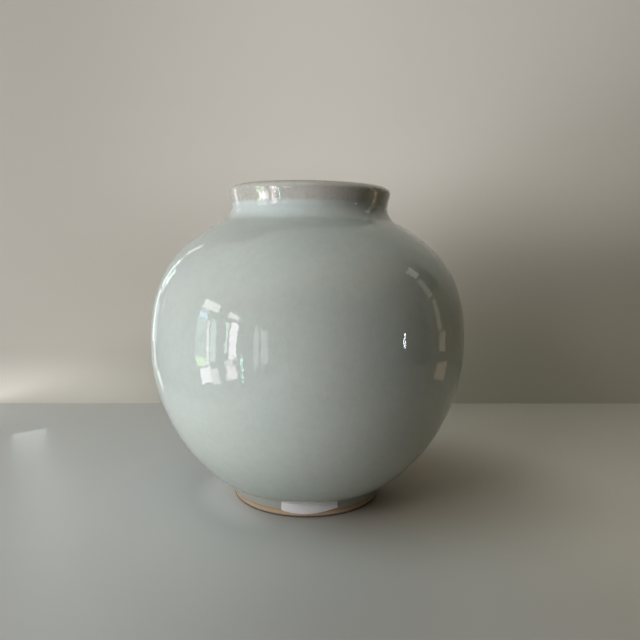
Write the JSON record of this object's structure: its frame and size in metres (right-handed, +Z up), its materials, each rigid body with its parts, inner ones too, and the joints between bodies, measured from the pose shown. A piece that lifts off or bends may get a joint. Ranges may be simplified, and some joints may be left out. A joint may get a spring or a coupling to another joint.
{
  "type": "celadon vase",
  "caption": "Round globular stoneware vase with a short collar, a turned foot ring and a pale blue-green glaze over bare clay at the foot.",
  "frame": {"origin": "centre of the foot ring's contact face, on the surface that the vase stands on", "axes": "+Z up along the throwing axis towards the mouth, -Y towards the front of the foot, where the sticker is"},
  "size_m": [0.2458, 0.2458, 0.245],
  "materials": {
    "bare_clay": "matte",
    "stoneware": "matte",
    "outer_glaze": "gloss",
    "inner_glaze": "gloss",
    "paper": "matte"
  },
  "bodies": {
    "root": {"foot_ring": "bare_clay", "lower_bowl": "stoneware", "upper_bowl": "stoneware", "neck_collar": "stoneware", "outer_glaze": "outer_glaze", "inner_glaze": "inner_glaze", "base_glaze": "inner_glaze", "paper_label": "paper"}
  },
  "joints": []
}
